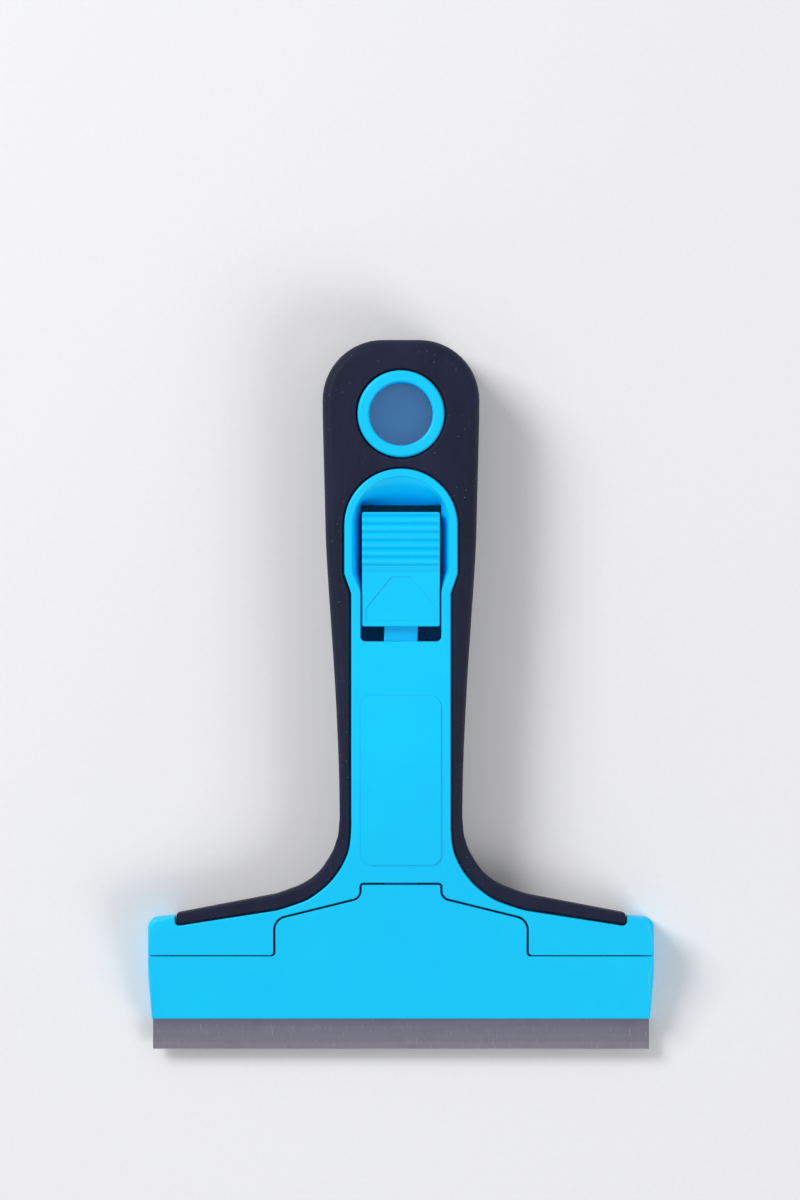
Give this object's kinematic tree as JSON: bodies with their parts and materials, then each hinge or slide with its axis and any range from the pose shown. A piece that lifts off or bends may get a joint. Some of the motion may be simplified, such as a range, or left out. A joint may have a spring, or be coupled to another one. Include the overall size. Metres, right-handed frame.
{
  "type": "hand scraper",
  "caption": "Hand scraper with a wide straight blade in a clamping head, a sprung push-button lever that opens the clamp, a soft overmoulded grip and a hanging ring.",
  "frame": {"origin": "under the middle of the tool's outline, on the flat back that it lies on", "axes": "+Y along the handle from the cutting edge towards the hanging ring, +X along the blade to the right seen from the front, +Z out of the front face with the button"},
  "size_m": [0.1018, 0.1428, 0.0176],
  "materials": {
    "blue_plastic": "satin moulded ABS, bright cyan blue",
    "soft_rubber": "matt soft-touch rubber, charcoal with a blue cast",
    "blade_steel": "dull rolled spring steel with a ground edge",
    "plated_steel": "bright zinc-plated steel"
  },
  "bodies": {
    "frame": {"core_body": "blue_plastic", "front_shell": "blue_plastic", "soft_grip": "soft_rubber", "hinge_pin": "plated_steel", "button_spring": "plated_steel", "blade": "blade_steel", "screw_1": "plated_steel", "screw_2": "plated_steel", "screw_3": "plated_steel", "screw_4": "plated_steel", "screw_5": "plated_steel", "screw_6": "plated_steel"},
    "lever": {"jaw_lever": "blue_plastic"}
  },
  "joints": [
    {"name": "button_press", "type": "hinge", "parent": "frame", "child": "lever", "pos_m": [0, -0.04895, 0.0054], "axis": [-1, 0, 0], "range_deg": [0, 3.8], "stiffness_Nm_per_rad": 1.2, "springref_deg": -14.32, "deforming": ["button_spring"]}
  ]
}
